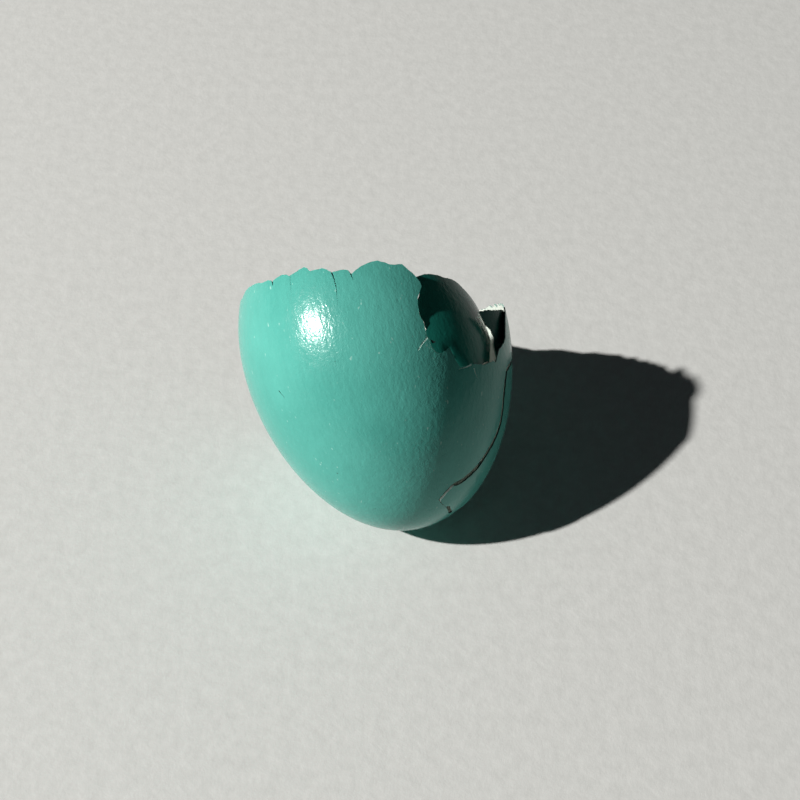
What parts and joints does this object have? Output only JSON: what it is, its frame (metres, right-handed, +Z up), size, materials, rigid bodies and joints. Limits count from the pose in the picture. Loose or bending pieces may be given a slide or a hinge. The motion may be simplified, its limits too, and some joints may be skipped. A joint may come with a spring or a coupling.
{
  "type": "broken bird eggshell",
  "caption": "Lower half of a small teal bird's eggshell, lying tilted with its ragged open end up, one wall piece folded inward and a cracked plate low on its side.",
  "frame": {"origin": "centre of the small flat that the shell rests on", "axes": "+Z up, -Y towards the front wall, which the picture looks down on, +X towards the folded-in piece"},
  "size_m": [0.021, 0.0223, 0.0222],
  "materials": {
    "shell_cup": "satin teal eggshell with fine pores",
    "folded_flap": "satin teal eggshell with fine pores",
    "side_plate": "satin teal eggshell with fine pores",
    "inner_fragment": "satin teal eggshell with fine pores"
  },
  "bodies": {
    "root": {"shell_cup": "shell_cup", "folded_flap": "folded_flap", "side_plate": "side_plate", "inner_fragment": "inner_fragment"}
  },
  "joints": []
}
